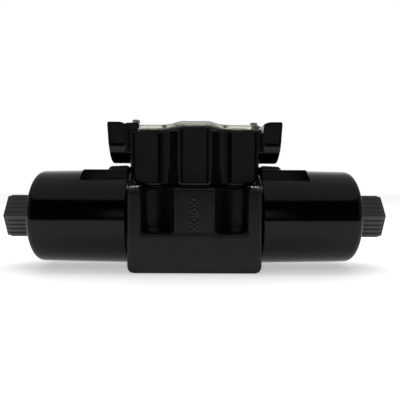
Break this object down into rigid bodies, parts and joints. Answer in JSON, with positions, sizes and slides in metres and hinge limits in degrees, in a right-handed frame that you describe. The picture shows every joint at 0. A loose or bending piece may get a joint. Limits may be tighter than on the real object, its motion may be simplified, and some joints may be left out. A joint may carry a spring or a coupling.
{
  "type": "solenoid directional valve",
  "caption": "Double solenoid spool valve for a subplate: cast body, two round coils with ribbed lock nuts and a terminal box with conduit bosses and a clear cover.",
  "frame": {"origin": "centre of the mounting face, where the bolt pattern's diagonals cross", "axes": "+X along the spool towards solenoid b, -Y to the front, +Z from the mounting face up to the terminal box"},
  "size_m": [0.2628, 0.07, 0.1021],
  "materials": {
    "cast_iron": "black painted casting",
    "gloss_black": "gloss black paint",
    "coil_resin": "gloss black moulding",
    "black_plastic": "moulded",
    "nut_plastic": "satin",
    "steel": "ground",
    "dark_steel": "oiled",
    "spring_steel": "drawn wire",
    "brass": "turned",
    "copper_winding": "enamelled wire",
    "rubber": "matt",
    "pale_plastic": "moulded",
    "board": "lacquered",
    "lamp": "clear tinted",
    "clear_cover": "clear",
    "plate_aluminium": "brushed"
  },
  "bodies": {
    "housing": {"valve_body": "cast_iron", "box_gasket": "rubber", "terminal_box": "gloss_black", "terminal_block": "pale_plastic", "indicator_board": "board", "earth_screw": "brass", "cover_gasket": "rubber", "cover": "clear_cover", "nameplate": "plate_aluminium", "cover_screw_left": "steel", "cover_screw_right": "steel", "port_seal_p": "rubber", "port_seal_a": "rubber", "port_seal_b": "rubber", "port_seal_t": "rubber", "port_seal_t1": "rubber", "centring_spring_a": "spring_steel", "pole_piece_a": "steel", "spigot_seal_a": "rubber", "guide_tube_a": "steel", "tube_end_plug_a": "dark_steel", "body_face_seal_a": "rubber", "coil_end_plate_a": "dark_steel", "coil_bobbin_a": "black_plastic", "coil_winding_a": "copper_winding", "coil_yoke_a": "dark_steel", "coil_case_a": "coil_resin", "lead_plug_a": "rubber", "nut_seal_a": "rubber", "lock_nut_a": "nut_plastic", "indicator_lamp_a": "lamp", "box_screw_a": "steel", "centring_spring_b": "spring_steel", "pole_piece_b": "steel", "spigot_seal_b": "rubber", "guide_tube_b": "steel", "tube_end_plug_b": "dark_steel", "body_face_seal_b": "rubber", "coil_end_plate_b": "dark_steel", "coil_bobbin_b": "black_plastic", "coil_winding_b": "copper_winding", "coil_yoke_b": "dark_steel", "coil_case_b": "coil_resin", "lead_plug_b": "rubber", "nut_seal_b": "rubber", "lock_nut_b": "nut_plastic", "indicator_lamp_b": "lamp", "box_screw_b": "steel"},
    "spool_unit": {"spool": "steel", "spring_seat_a": "steel", "spring_seat_b": "steel"},
    "push_pin_body_a": {"push_pin_a": "steel"},
    "armature_body_a": {"armature_a": "dark_steel"},
    "override_body_a": {"override_pin_a": "brass"},
    "push_pin_body_b": {"push_pin_b": "steel"},
    "armature_body_b": {"armature_b": "dark_steel"},
    "override_body_b": {"override_pin_b": "brass"}
  },
  "joints": [
    {"name": "spool_shift", "type": "slide", "parent": "housing", "child": "spool_unit", "axis": [1, 0, 0], "range_m": [-0.0035, 0.0035], "stiffness_N_per_m": 6000, "deforming": ["centring_spring_a", "centring_spring_b"]},
    {"name": "push_pin_a_travel", "type": "slide", "parent": "housing", "child": "push_pin_body_a", "axis": [1, 0, 0], "range_m": [-0.0035, 0.0035]},
    {"name": "armature_a_travel", "type": "slide", "parent": "housing", "child": "armature_body_a", "axis": [1, 0, 0], "range_m": [-0.0035, 0.0035]},
    {"name": "push_pin_b_travel", "type": "slide", "parent": "housing", "child": "push_pin_body_b", "axis": [1, 0, 0], "range_m": [-0.0035, 0.0035]},
    {"name": "armature_b_travel", "type": "slide", "parent": "housing", "child": "armature_body_b", "axis": [1, 0, 0], "range_m": [-0.0035, 0.0035]},
    {"name": "override_a_press", "type": "slide", "parent": "housing", "child": "override_body_a", "axis": [1, 0, 0], "range_m": [0, 0.003], "stiffness_N_per_m": 300},
    {"name": "override_b_press", "type": "slide", "parent": "housing", "child": "override_body_b", "axis": [-1, 0, 0], "range_m": [0, 0.003], "stiffness_N_per_m": 300}
  ],
  "couplings": [
    {"joint": "push_pin_a_travel", "follows": "spool_shift", "ratio": 1},
    {"joint": "armature_a_travel", "follows": "spool_shift", "ratio": 1},
    {"joint": "push_pin_b_travel", "follows": "spool_shift", "ratio": 1},
    {"joint": "armature_b_travel", "follows": "spool_shift", "ratio": 1}
  ]
}
